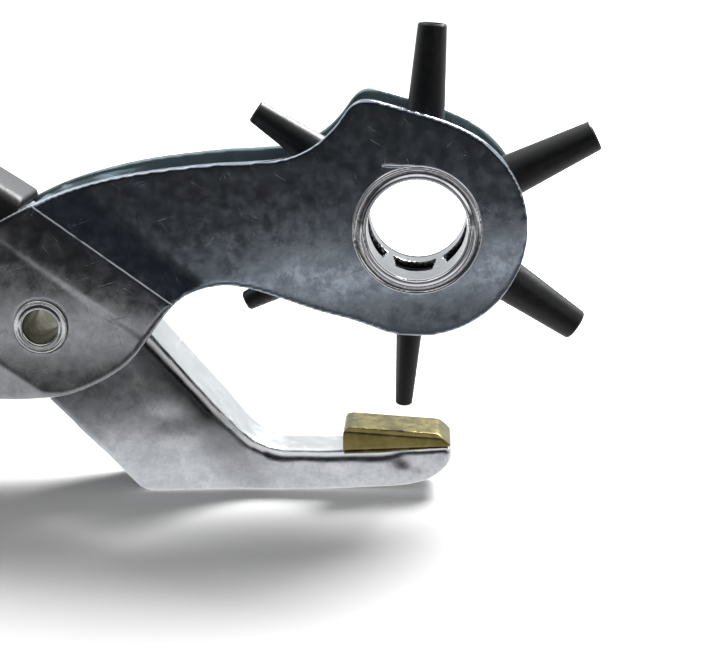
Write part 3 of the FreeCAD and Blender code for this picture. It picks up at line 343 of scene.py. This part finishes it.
def oxide(name, base_a, base_b, rough, bore=True):
    m = Mat(name)
    v = m.scale(1000.0)
    a = m.noise(v, 0.7, 4, 0.6)
    g = m.noise(v, 6.0, 3, 0.6)
    edge = m.edge(0.00035)
    base = m.mix(m.ramp(a, [(0.35, 0.0), (0.7, 1.0)]), base_a, base_b)
    wear = m.math("MULTIPLY", edge, m.ramp(m.noise(v, 1.3, 3), [(0.42, 0.0), (0.62, 1.0)]))
    base = m.mix(m.math("MULTIPLY", wear, 0.4), base, (0.10, 0.095, 0.095))
    r = m.remap(a, 0.3, 0.7, rough - 0.05, rough + 0.08)
    n = m.bump(m.math("ADD", g, m.math("MULTIPLY", a, 1.5)), 0.00004, 0.5)
    spec = 0.36
    if bore:
        # painted shade: everything near the turret axis, deep between the cheeks, is painted near black, rougher and
        # with less sheen
        d = m.node("ShaderNodeVectorMath", operation="DISTANCE")
        flat = m.node("ShaderNodeVectorMath", operation="MULTIPLY")
        m.put(flat.inputs[0], m.co)
        flat.inputs[1].default_value = (1.0, 0.0, 1.0)
        m.put(d.inputs[0], flat.outputs[0])
        d.inputs[1].default_value = (0.064, 0.0, 0.0169)
        deep = m.remap(d.outputs["Value"], 0.0098, 0.0116, 1.0, 0.0)
        base = m.mix(deep, base, (0.003, 0.003, 0.003))
        r = m.math("ADD", r, m.math("MULTIPLY", deep, 0.4))
        spec = m.remap(deep, 0.0, 1.0, 0.36, 0.08)
    return m.end(Base_Color=base, Metallic=0.1, Roughness=r, Normal=n, Specular_IOR_Level=spec)


M_OXIDE = oxide("black_oxide_tube", (0.0045, 0.0045, 0.005), (0.009, 0.009, 0.010), 0.36)
M_HUB = oxide("black_oxide_hub", (0.006, 0.006, 0.0065), (0.012, 0.012, 0.0125), 0.42)


def brass():
    m = Mat("anvil_brass")
    v = m.scale(1000.0)
    a = m.noise(v, 0.5, 4, 0.6, 0.4)
    lines = m.noise(m.scale((300.0, 2600.0, 300.0)), 1.0, 2)
    base = m.mix(m.ramp(a, [(0.3, 0.0), (0.7, 1.0)]), (0.17, 0.14, 0.05), (0.30, 0.25, 0.09))
    tarn = m.ramp(m.noise(v, 0.23, 3, 0.6, 0.6), [(0.45, 0.0), (0.65, 1.0)])
    base = m.mix(m.math("MULTIPLY", tarn, 0.45), base, (0.12, 0.09, 0.03))
    r = m.remap(a, 0.3, 0.7, 0.22, 0.38)
    return m.end(Base_Color=base, Metallic=1.0, Roughness=r, Normal=m.bump(m.math("ADD", a, m.math("MULTIPLY", lines, 0.4)), 0.00006, 0.5))


M_BRASS = brass()


def vinyl():
    m = Mat("black_vinyl_grip")
    v = m.scale(1000.0)
    grain = m.voro(v, 1.7)
    fine = m.noise(v, 5.0, 3, 0.6)
    cloud = m.noise(v, 0.08, 3, 0.6)
    base = m.mix(m.remap(cloud, 0.35, 0.65, 0.0, 1.0), (0.006, 0.006, 0.0065), (0.012, 0.012, 0.013))
    dust = m.ramp(m.noise(v, 1.1, 4, 0.7), [(0.62, 0.0), (0.75, 1.0)])
    base = m.mix(m.math("MULTIPLY", dust, 0.25), base, (0.07, 0.068, 0.064))
    r = m.remap(m.math("ADD", m.math("MULTIPLY", grain, 0.4), cloud), 0.3, 1.0, 0.36, 0.52)
    h = m.math("ADD", m.math("MULTIPLY", grain, 0.8), m.math("MULTIPLY", fine, 0.35))
    return m.end(Base_Color=base, Roughness=r, Normal=m.bump(h, 0.00008, 0.5), Specular_IOR_Level=0.38,
                 Coat_Weight=0.05, Coat_Roughness=0.35)


M_GRIP = vinyl()


# ------------------------------------------------------------------ mesh helpers
def new_object(name, verts, faces, mat, body, smooth=True):
    me = bpy.data.meshes.new(name)
    me.from_pydata([tuple(v) for v in verts], [], [tuple(f) for f in faces])
    me.update()
    o = bpy.data.objects.new(name, me)
    bpy.context.scene.collection.objects.link(o)
    me.materials.append(mat)
    if smooth:
        me.polygons.foreach_set("use_smooth", [True] * len(me.polygons))
    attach(o, body)
    return o


def apply_mods(o):
    dg = bpy.context.evaluated_depsgraph_get()
    me = bpy.data.meshes.new_from_object(o.evaluated_get(dg))
    o.modifiers.clear()
    old = o.data
    o.data = me
    bpy.data.meshes.remove(old)
    return o


def skin_of(node, name, mat, voxel, passes, body, shape=None, refine=None):
    """A dense smooth skin over a CAD solid: every cut edge gets the small round a pressed part has."""
    src = N[node]
    me = src.data.copy()
    me.name = name
    me.materials.clear()
    o = bpy.data.objects.new(name, me)
    bpy.context.scene.collection.objects.link(o)
    bm = bmesh.new()
    bm.from_mesh(me)
    bmesh.ops.remove_doubles(bm, verts=bm.verts, dist=1e-7)
    bm.to_mesh(me)
    bm.free()
    r = o.modifiers.new("voxel", "REMESH")
    r.mode = "VOXEL"
    r.voxel_size = voxel
    r.adaptivity = 0.0
    apply_mods(o)
    if shape is not None:
        shape(o)
        if refine:
            r = o.modifiers.new("voxel", "REMESH")
            r.mode = "VOXEL"
            r.voxel_size = refine
            apply_mods(o)
    s = o.modifiers.new("soft", "SMOOTH")
    s.factor = 0.5
    s.iterations = passes
    apply_mods(o)
    o.data.materials.clear()
    o.data.materials.append(mat)
    o.data.polygons.foreach_set("use_smooth", [True] * len(o.data.polygons))
    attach(o, body)
    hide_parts(node)
    return o


def coords(o):
    co = np.empty(len(o.data.vertices) * 3)
    o.data.vertices.foreach_get("co", co)
    return co.reshape(-1, 3)


def set_coords(o, co):
    o.data.vertices.foreach_set("co", co.ravel())
    o.data.update()


def catmull(pts, n=10):
    P = [Vector(p) for p in pts]
    out = []
    for i in range(len(P) - 1):
        p0 = P[i - 1] if i else P[0] * 2 - P[1]
        p1, p2 = P[i], P[i + 1]
        p3 = P[i + 2] if i + 2 < len(P) else P[-1] * 2 - P[-2]
        for k in range(n):
            u = k / n
            out.append(0.5 * ((2 * p1) + (p2 - p0) * u + (2 * p0 - 5 * p1 + 4 * p2 - p3) * u * u + (3 * p1 - p0 - 3 * p2 + p3) * u ** 3))
    out.append(P[-1])
    return out


# ------------------------------------------------------------------ anvil arm: bends of the pressed channel
slope = (18.6 + 4.6) / (17.0 + 3.2)
web = [(-122, 33), (-95, 36.5), (-70, 38), (-45, 36), (-25, 30.6), (-11, 23.5), (-5, 19.7), (0, 15.1), (5, 10.1), (11, 4.6), (17.5, 18.6 - slope * 17.92)]
path = [tuple(p) for p in catmull([(x, z) for x, z in web], 14)]
bend_r = 12.0
corner_x = -0.42 + (18.6 + 24.0) / slope
lean_a = math.atan(slope)
tl = bend_r * math.tan(lean_a / 2)
th0 = (corner_x - tl * math.cos(lean_a), -24.0 + tl * math.sin(lean_a))
for k in range(1, 31):
    f = k / 30
    path.append((17.5 + (th0[0] - 17.5) * f, web[-1][1] + (th0[1] - web[-1][1]) * f))
thc = (corner_x + tl, -24.0 + bend_r)
a0 = math.atan2(th0[1] - thc[1], th0[0] - thc[0])
for k in range(1, 17):
    g = a0 + (-math.pi / 2 - a0) * k / 16
    path.append((thc[0] + bend_r * math.cos(g), thc[1] + bend_r * math.sin(g)))
for k in range(1, 9):
    path.append((thc[0] + (48.0 - thc[0]) * k / 8, -24.0))
for k in range(1, 26):
    path.append((48.0 + 21.5 * k / 25, -24.0 + 1.13 * k / 25))
nose = [(69.5, -22.87), (70.15, -23.15), (70.45, -23.9), (70.4, -25.0), (69.7, -26.5), (68.2, -28.1), (66.2, -29.3), (63.6, -30.1),
        (60.0, -30.6), (54.0, -31.0), (48.0, -31.35), (42.0, -31.5)]
path += [tuple(p) for p in catmull(nose, 8)][1:]
path = np.array(path)


def seg_dist(p, path):
    """Distance in the side plane from points to a polyline."""
    best = np.full(len(p), 1e9)
    a, b = path[:-1], path[1:]
    d = b - a
    L = np.maximum((d ** 2).sum(1), 1e-12)
    for i in range(len(a)):
        w = p - a[i]
        t = np.clip((w @ d[i]) / L[i], 0, 1)
        q = w - t[:, None] * d[i]
        best = np.minimum(best, np.hypot(q[:, 0], q[:, 1]))
    return best


def half_b(x, z):
    rho = np.hypot(x, z)
    return np.where(x > 0, np.interp(rho, [0, 12, 18, 33, 45, 200], [7.5, 7.5, 7.3, 7.1, 5.2, 5.2]), np.interp(rho, [0, 12, 18, 30, 200], [7.5, 7.5, 6.4, 5.2, 5.2]))


def bend_anvil(o):
    co = coords(o) * 1000.0
    d = seg_dist(co[:, [0, 2]], path)
    w = half_b(co[:, 0], co[:, 2])
    r = np.interp(co[:, 0], [20, 40, 46, 52.5, 57.8, 60.5, 63.1, 66.6, 69.5], [2.3, 2.2, 2.0, 2.2, 2.5, 2.2, 1.4, 0.7, 0.4])
    low = np.interp(co[:, 2] - np.interp(co[:, 0], [30, 48, 69.5], [-24.0, -24.0, -22.87]), [-4.6, -3.6], [1.0, 0.0])
    low = low * np.clip((co[:, 0] - 20.0) / 10.0, 0, 1)
    r = r * (1 - low) + 0.8 * low
    dd = np.clip(d, 0, r)
    cap = w - r + np.sqrt(np.maximum(r ** 2 - (r - dd) ** 2, 0))
    co[:, 1] *= np.where(d < r, cap / w, 1.0)
    # dents left by the forming tool and by use, pressed into both faces
    for x, z, rad, deep in ((61.6, -25.2, 1.5, 0.42), (56.5, -29.2, 1.1, 0.16), (49.5, -28.6, 1.4, 0.14), (59.6, -28.4, 0.9, 0.13), (64.8, -26.6, 1.2, 0.18),
                            (44.0, -27.0, 1.3, 0.12), (30.0, -22.5, 2.0, 0.15), (21.0, -17.5, 2.4, 0.18), (53.0, -27.2, 0.8, 0.10)):
        g = np.exp(-((co[:, 0] - x) ** 2 / (rad * 1.3) ** 2 + (co[:, 2] - z) ** 2 / rad ** 2))
        co[:, 1] -= np.sign(co[:, 1]) * deep * g * (np.abs(co[:, 1]) > 3.0)
    set_coords(o, co / 1000.0)


def burr_windows(o):
    """Torn edges on the slug windows, and a bead that isn't quite even."""
    co = coords(o) * 1000.0
    x, z = co[:, 0] - 64.0, co[:, 2] - 16.9
    r = np.hypot(x, z)
    g = np.arctan2(z, x)
    mid = np.clip((6.5 - np.abs(co[:, 1])) / 1.5, 0, 1)
    n1 = np.sin(11.3 * g * 3 + 1.7 * co[:, 1]) * np.sin(7.1 * co[:, 1] + 19.0 * g) + 0.6 * np.sin(61.0 * g + 2.0) * np.sin(4.3 * co[:, 1] + 0.7)
    n2 = np.sin(47.0 * g + 3.1 * co[:, 1]) + 0.5 * np.sin(83.0 * g + 1.0)
    co[:, 1] += 0.26 * n1 * mid
    t = 0.012 * n2 * mid * np.clip((r - 8.0) / 0.4, 0, 1)
    c, s_ = np.cos(t), np.sin(t)
    co[:, 0], co[:, 2] = 64.0 + x * c - z * s_, 16.9 + x * s_ + z * c
    set_coords(o, co / 1000.0)


def draw_back(o):
    """The moulded grip stops a little short of the cheek, so bare arm shows between them."""
    co = coords(o) * 1000.0
    k = np.clip((co[:, 0] + 16.0) / 13.0, 0, 1)
    k = k * k * (3 - 2 * k)
    co[:, 0] -= 0.7 * k
    co[:, 2] += 0.4 * k
    set_coords(o, co / 1000.0)


def cad_half(u):
    return np.interp(u, [-150, -19.0, -10.0, 10.2, 16.4, 19.6, 150], [7.5, 7.5, 11.2, 11.2, 11.0, 9.3, 9.3])


def drawn_half(u, v):
    """Half width as pressed: a tight crease, then a soft fillet into the neck that narrows towards the throat."""
    t = np.clip((u - 16.4) / np.interp(v, [-13.0, 9.0], [9.5, 6.0]), 0, 1)
    h = np.where(u >= 16.4, 9.3 + 1.7 * (1 - t) ** 1.7, cad_half(u))
    k = np.clip((u - 8.5) / 7.9, 0, 1)
    lap = 11.25 - 0.25 * k ** 2
    return np.where((u > 8.5) & (u < 16.4), lap, h)


def press_frame(o):
    co = coords(o) * 1000.0
    u = 0.587 * co[:, 0] + 0.809 * co[:, 2]
    add = drawn_half(u, 0.809 * co[:, 0] - 0.587 * co[:, 2]) - cad_half(u)
    co[:, 1] += add * np.clip((np.abs(co[:, 1]) - 3.0) / 4.0, 0, 1) * np.sign(co[:, 1])
    set_coords(o, co / 1000.0)


anvil = skin_of("anvil_arm", "anvil_arm_skin", M_ANVIL, 0.00045, 5, "anvil_arm", bend_anvil, 0.0004)
turret_frame = skin_of("turret_frame", "turret_frame_skin", M_FRAME, 0.00042, 4, "turret_frame", press_frame)
sleeve = skin_of("hub_sleeve", "hub_sleeve_skin", M_SLEEVE, 0.0002, 3, "turret", burr_windows)
rivet = skin_of("pivot_rivet", "pivot_rivet_skin", M_RIVET, 0.00016, 3, "anvil_arm")
pad = skin_of("anvil_pad", "anvil_pad_skin", M_BRASS, 0.00018, 4, "anvil_arm")
upper_grip = skin_of("upper_grip", "upper_grip_skin", M_GRIP, 0.0006, 8, "anvil_arm", draw_back)
lower_grip = skin_of("lower_grip", "lower_grip_skin", M_GRIP, 0.0006, 8, "turret_frame")


def roll_face(o, cx, cz, half, lo, hi, prof):
    """Set the rolled end faces to their turned profile: bead, shallow ring and thin raised rim."""
    co = coords(o) * 1000.0
    r = np.hypot(co[:, 0] - cx, co[:, 2] - cz)
    top = half - np.interp(r, [p[0] for p in prof], [p[1] for p in prof])
    nv = np.empty(len(co) * 3)
    o.data.vertex_normals.foreach_get("vector", nv)
    outward = nv.reshape(-1, 3)[:, 1] * np.sign(co[:, 1]) > 0.15
    k = (r > lo) & (r < hi) & (np.abs(co[:, 1]) > half - 0.52) & outward
    co[:, 1] = np.where(k, np.sign(co[:, 1]) * top, co[:, 1])
    set_coords(o, co / 1000.0)


roll_face(sleeve, 64.0, 16.9, 10.0, 8.62, 10.78, [(8.5, 0.5), (8.6, 0.22), (8.75, 0.07), (8.97, 0.0), (9.15, 0.04), (9.3, 0.12), (9.45, 0.26), (9.6, 0.34), (9.9, 0.33),
                                                  (10.3, 0.32), (10.45, 0.28), (10.58, 0.12), (10.7, 0.04), (10.8, 0.06), (10.95, 0.2)])

# ------------------------------------------------------------------ torn sliver left where the sleeve was rolled over
def sliver():
    axis = Vector((64.0, 0, 16.9))
    ang0, ang1 = math.radians(118.6), math.radians(92.0)
    rows, ring = 26, 8
    vs, fs = [], []
    for i in range(rows + 1):
        t = i / rows
        g = ang0 + (ang1 - ang0) * t
        lift = 1.55 * (1 - t) ** 2.2                       # the free end stands away from the rim
        r = 10.82 + lift
        wide = 0.30 * (0.35 + 0.65 * math.sin(math.pi * min(1, 0.12 + t * 0.88)) ** 0.7) * (1.0 + 0.2 * math.sin(9 * t))
        tall = 0.16 * (0.4 + 0.6 * math.sin(math.pi * min(1, 0.1 + t * 0.9)))
        c = axis + Vector((math.cos(g) * r, -9.66 - 0.20 * (1 - t) ** 1.5, math.sin(g) * r))
        out = Vector((math.cos(g), 0, math.sin(g)))
        for k in range(ring):
            h = 2 * math.pi * k / ring
            p = c + out * (wide * math.cos(h)) + Vector((0, tall * math.sin(h), 0))
            vs.append(p * MM)
    for i in range(rows):
        for k in range(ring):
            fs.append((i * ring + k, i * ring + (k + 1) % ring, (i + 1) * ring + (k + 1) % ring, (i + 1) * ring + k))
    fs.append(tuple(range(ring))[::-1])
    fs.append(tuple(rows * ring + k for k in range(ring)))
    return new_object("sleeve_rolling_sliver", vs, fs, M_SLEEVE, "turret")


burr = sliver()

# ------------------------------------------------------------------ opening spring: the CAD wire, copied with the spring-wire finish and its transform baked in
me = N["opening_spring"].data.copy()
me.name = "opening_spring_wire"
me.materials.clear()
me.materials.append(M_SPRING)
spring = bpy.data.objects.new("opening_spring_wire", me)
bpy.context.scene.collection.objects.link(spring)
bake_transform(spring)
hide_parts("opening_spring")


# ------------------------------------------------------------------ finishes of the carried-over nodes
FINISH = {"anvil_pad": M_BRASS, "anvil_rivet": M_WASHER, "pivot_rivet": M_RIVET, "pivot_spacer": M_WASHER, "pivot_washer_front": M_WASHER,
          "pivot_washer_rear": M_WASHER, "turret_hub": M_HUB, "thrust_washer_front": M_WASHER,
          "thrust_washer_rear": M_WASHER, "index_spring": M_SPRING, "index_spring_rivet": M_WASHER}
for n, o in N.items():
    if n.startswith("punch_tube"):
        FINISH[n] = M_OXIDE
    if n in FINISH:
        o.data.materials.clear()
        o.data.materials.append(FINISH[n])


# ------------------------------------------------------------------ floor, light, camera
FLOOR_Z = CAD_LO.z - 0.00005
bpy.ops.mesh.primitive_grid_add(x_subdivisions=40, y_subdivisions=40, size=4.0, location=(0, 0, FLOOR_Z))
floor = bpy.context.object
floor.name = "floor"
probes = []
spots = [("anvil_arm", (0.030, 0.0, CAD_LO.z))]
grip_co = coords(N["lower_grip"])
if N["lower_grip"].matrix_world != Matrix():
    grip_co = grip_co @ np.array(N["lower_grip"].matrix_world.to_3x3()).T + np.array(N["lower_grip"].matrix_world.translation)
for deg in range(-24, 25, 4):
    # the point of the lower grip that comes down first at each opening
    g = math.radians(deg)
    low = grip_co[np.argmin(grip_co[:, 0] * math.sin(g) + grip_co[:, 2] * math.cos(g))]
    spots.append(("turret_frame", tuple(float(q) for q in low)))
for body, place in spots:
    e = bpy.data.objects.new("floor_probe_%d" % len(probes), None)
    bpy.context.scene.collection.objects.link(e)
    e.parent = frame["bodies"][body]
    e.location = (place[0], place[1], place[2] - 0.00005)
    probes.append(e)
drv = floor.driver_add("location", 2).driver
drv.type = "MIN"
for k, e in enumerate(probes):
    var = drv.variables.new()
    var.name = "z%d" % k
    var.type = "TRANSFORMS"
    var.targets[0].id = e
    var.targets[0].transform_type = "LOC_Z"
    var.targets[0].transform_space = "WORLD_SPACE"
fm = Mat("pale_floor")
lp = fm.node("ShaderNodeLightPath")
grainy = fm.noise(fm.scale(60.0), 1.0, 3)
pale = fm.mix(grainy, (0.86, 0.86, 0.855), (0.89, 0.89, 0.885))
geo = fm.node("ShaderNodeNewGeometry")
sx = fm.node("ShaderNodeSeparateXYZ")
fm.put(sx.inputs[0], geo.outputs["Position"])
# painted reflection: for glossy rays the floor has no diffuse colour and glows with the tone list below, set by depth,
# its light and dark bands standing in for the lit and shaded floor the metal reflects
wave = fm.math("MULTIPLY", fm.math("SUBTRACT", fm.noise(fm.scale(14.0), 1.0, 2), 0.5), 0.035)
lean = fm.math("ADD", fm.remap(sx.outputs[0], 0.008, 0.024, -0.052, 0.0), fm.remap(sx.outputs[0], 0.046, 0.074, 0.0, 0.014))
lean = fm.math("MULTIPLY", lean, fm.remap(sx.outputs[1], -0.080, -0.066, 1.0, 0.0))
depth = fm.math("ADD", fm.math("ADD", sx.outputs[1], wave), lean)
REFLECTED_TONES = [(-0.450, 0.022), (-0.300, 0.032), (-0.255, 0.05), (-0.235, 0.07), (-0.215, 0.22), (-0.197, 0.80), (-0.178, 1.30), (-0.163, 0.85),
         (-0.145, 0.10), (-0.125, 0.09), (-0.100, 0.14), (-0.075, 0.11), (-0.060, 0.12), (-0.045, 0.30), (-0.028, 0.80), (-0.010, 0.95)]
reflected_floor_tone = fm.ramp(fm.remap(depth, -0.450, -0.010, 0.0, 1.0), [((y + 0.450) / 0.440, (c * 0.59, c * 0.59, c * 0.61)) for y, c in REFLECTED_TONES])
away = fm.node("ShaderNodeVectorMath", operation="DISTANCE")
fm.put(away.inputs[0], geo.outputs["Position"])
away.inputs[1].default_value = (0.045, -0.02, FLOOR_Z)
far = fm.math("MULTIPLY", fm.remap(away.outputs["Value"], 0.115, 0.22, 0.0, 1.0), lp.outputs["Is Camera Ray"])
shine = lp.outputs["Is Glossy Ray"]
fm.end(Base_Color=fm.mix(shine, pale, (0.0, 0.0, 0.0)), Roughness=0.75, Specular_IOR_Level=0.1,
       Emission_Color=fm.mix(shine, (1.0, 1.0, 1.0), reflected_floor_tone), Emission_Strength=fm.math("MAXIMUM", far, fm.math("MULTIPLY", shine, 1.61)))
floor.data.materials.append(fm.m)

w = bpy.data.worlds.new("studio")
bpy.context.scene.world = w
w.use_nodes = True
wt = w.node_tree
bg = wt.nodes["Background"]
tc = wt.nodes.new("ShaderNodeTexCoord")
sp = wt.nodes.new("ShaderNodeSeparateXYZ")
wt.links.new(tc.outputs["Generated"], sp.inputs[0])
ry = wt.nodes.new("ShaderNodeMapRange")
wt.links.new(sp.outputs[1], ry.inputs[0])
for i, x in enumerate((-0.55, 0.15, 0.0, 1.0)):
    ry.inputs[i + 1].default_value = x
cr = wt.nodes.new("ShaderNodeValToRGB")
cr.color_ramp.elements[0].color = (0.022, 0.025, 0.031, 1)
cr.color_ramp.elements[1].color = (0.80, 0.84, 0.86, 1)
wt.links.new(ry.outputs[0], cr.inputs[0])
oz = wt.nodes.new("ShaderNodeMapRange")
wt.links.new(sp.outputs[2], oz.inputs[0])
for i, x in enumerate((0.45, 0.80, 0.0, 1.0)):
    oz.inputs[i + 1].default_value = x
over = wt.nodes.new("ShaderNodeMix")
over.data_type = "RGBA"
wt.links.new(oz.outputs[0], over.inputs[0])
wt.links.new(cr.outputs[0], over.inputs[6])
over.inputs[7].default_value = (0.92, 0.94, 0.96, 1)
# a softbox to the front right, for the highlights on rounded edges
box_dot = wt.nodes.new("ShaderNodeVectorMath")
box_dot.operation = "DOT_PRODUCT"
wt.links.new(tc.outputs["Generated"], box_dot.inputs[0])
box_dot.inputs[1].default_value = Vector((0.70, -0.60, 0.42)).normalized()
box_in = wt.nodes.new("ShaderNodeMapRange")
wt.links.new(box_dot.outputs["Value"], box_in.inputs[0])
for i, x in enumerate((0.925, 0.965, 0.0, 1.0)):
    box_in.inputs[i + 1].default_value = x
boxed = wt.nodes.new("ShaderNodeMix")
boxed.data_type = "RGBA"
wt.links.new(box_in.outputs[0], boxed.inputs[0])
wt.links.new(over.outputs[2], boxed.inputs[6])
boxed.inputs[7].default_value = (1.0, 1.0, 1.0, 1)
lpw = wt.nodes.new("ShaderNodeLightPath")
mx = wt.nodes.new("ShaderNodeMix")
mx.data_type = "RGBA"
wt.links.new(lpw.outputs["Is Glossy Ray"], mx.inputs[0])
mx.inputs[6].default_value = (1.0, 1.0, 1.0, 1)
wt.links.new(boxed.outputs[2], mx.inputs[7])
wt.links.new(mx.outputs[2], bg.inputs["Color"])
power = wt.nodes.new("ShaderNodeMapRange")
wt.links.new(lpw.outputs["Is Diffuse Ray"], power.inputs[0])
for i, x in enumerate((0.0, 1.0, 1.0, 0.21)):
    power.inputs[i + 1].default_value = x
wt.links.new(power.outputs[0], bg.inputs["Strength"])


def area(name, loc, target, sx_, sy_, power, color=(1, 1, 1), spread=180):
    l = bpy.data.lights.new(name, "AREA")
    l.shape = "RECTANGLE"
    l.size, l.size_y, l.energy, l.color = sx_, sy_, power, color
    l.spread = math.radians(spread)
    o = bpy.data.objects.new(name, l)
    bpy.context.scene.collection.objects.link(o)
    o.location = loc
    o.rotation_mode = "QUATERNION"
    o.rotation_quaternion = (Vector(target) - Vector(loc)).to_track_quat("-Z", "Y")
    return o


area("key", (0.27, 0.34, 0.45), (0.03, -0.02, -0.01), 0.32, 0.26, 9.0)
area("top_fill", (-0.22, 0.05, 0.50), (0.0, 0.0, 0.0), 0.4, 0.3, 0.5)

cam = bpy.data.cameras.new("camera")
co = bpy.data.objects.new("camera", cam)
bpy.context.scene.collection.objects.link(co)
cam.lens, cam.sensor_width, cam.sensor_fit = 76.8, 36.0, "HORIZONTAL"
cam.clip_start, cam.clip_end = 0.01, 20
co.location = (0.0658, -0.2616, 0.0680)
fwd = Vector((-0.0434, 0.964, -0.262)).normalized()
right = Vector((0.99899, 0.0450, 0.0)).normalized()
up = right.cross(fwd)
right = fwd.cross(up)
mw = Matrix(((right.x, up.x, -fwd.x), (right.y, up.y, -fwd.y), (right.z, up.z, -fwd.z)))
co.rotation_mode = "QUATERNION"
co.rotation_quaternion = mw.to_quaternion()
bpy.context.scene.camera = co
bpy.context.scene.view_settings.view_transform = "Standard"
bpy.context.scene.view_settings.look = "None"
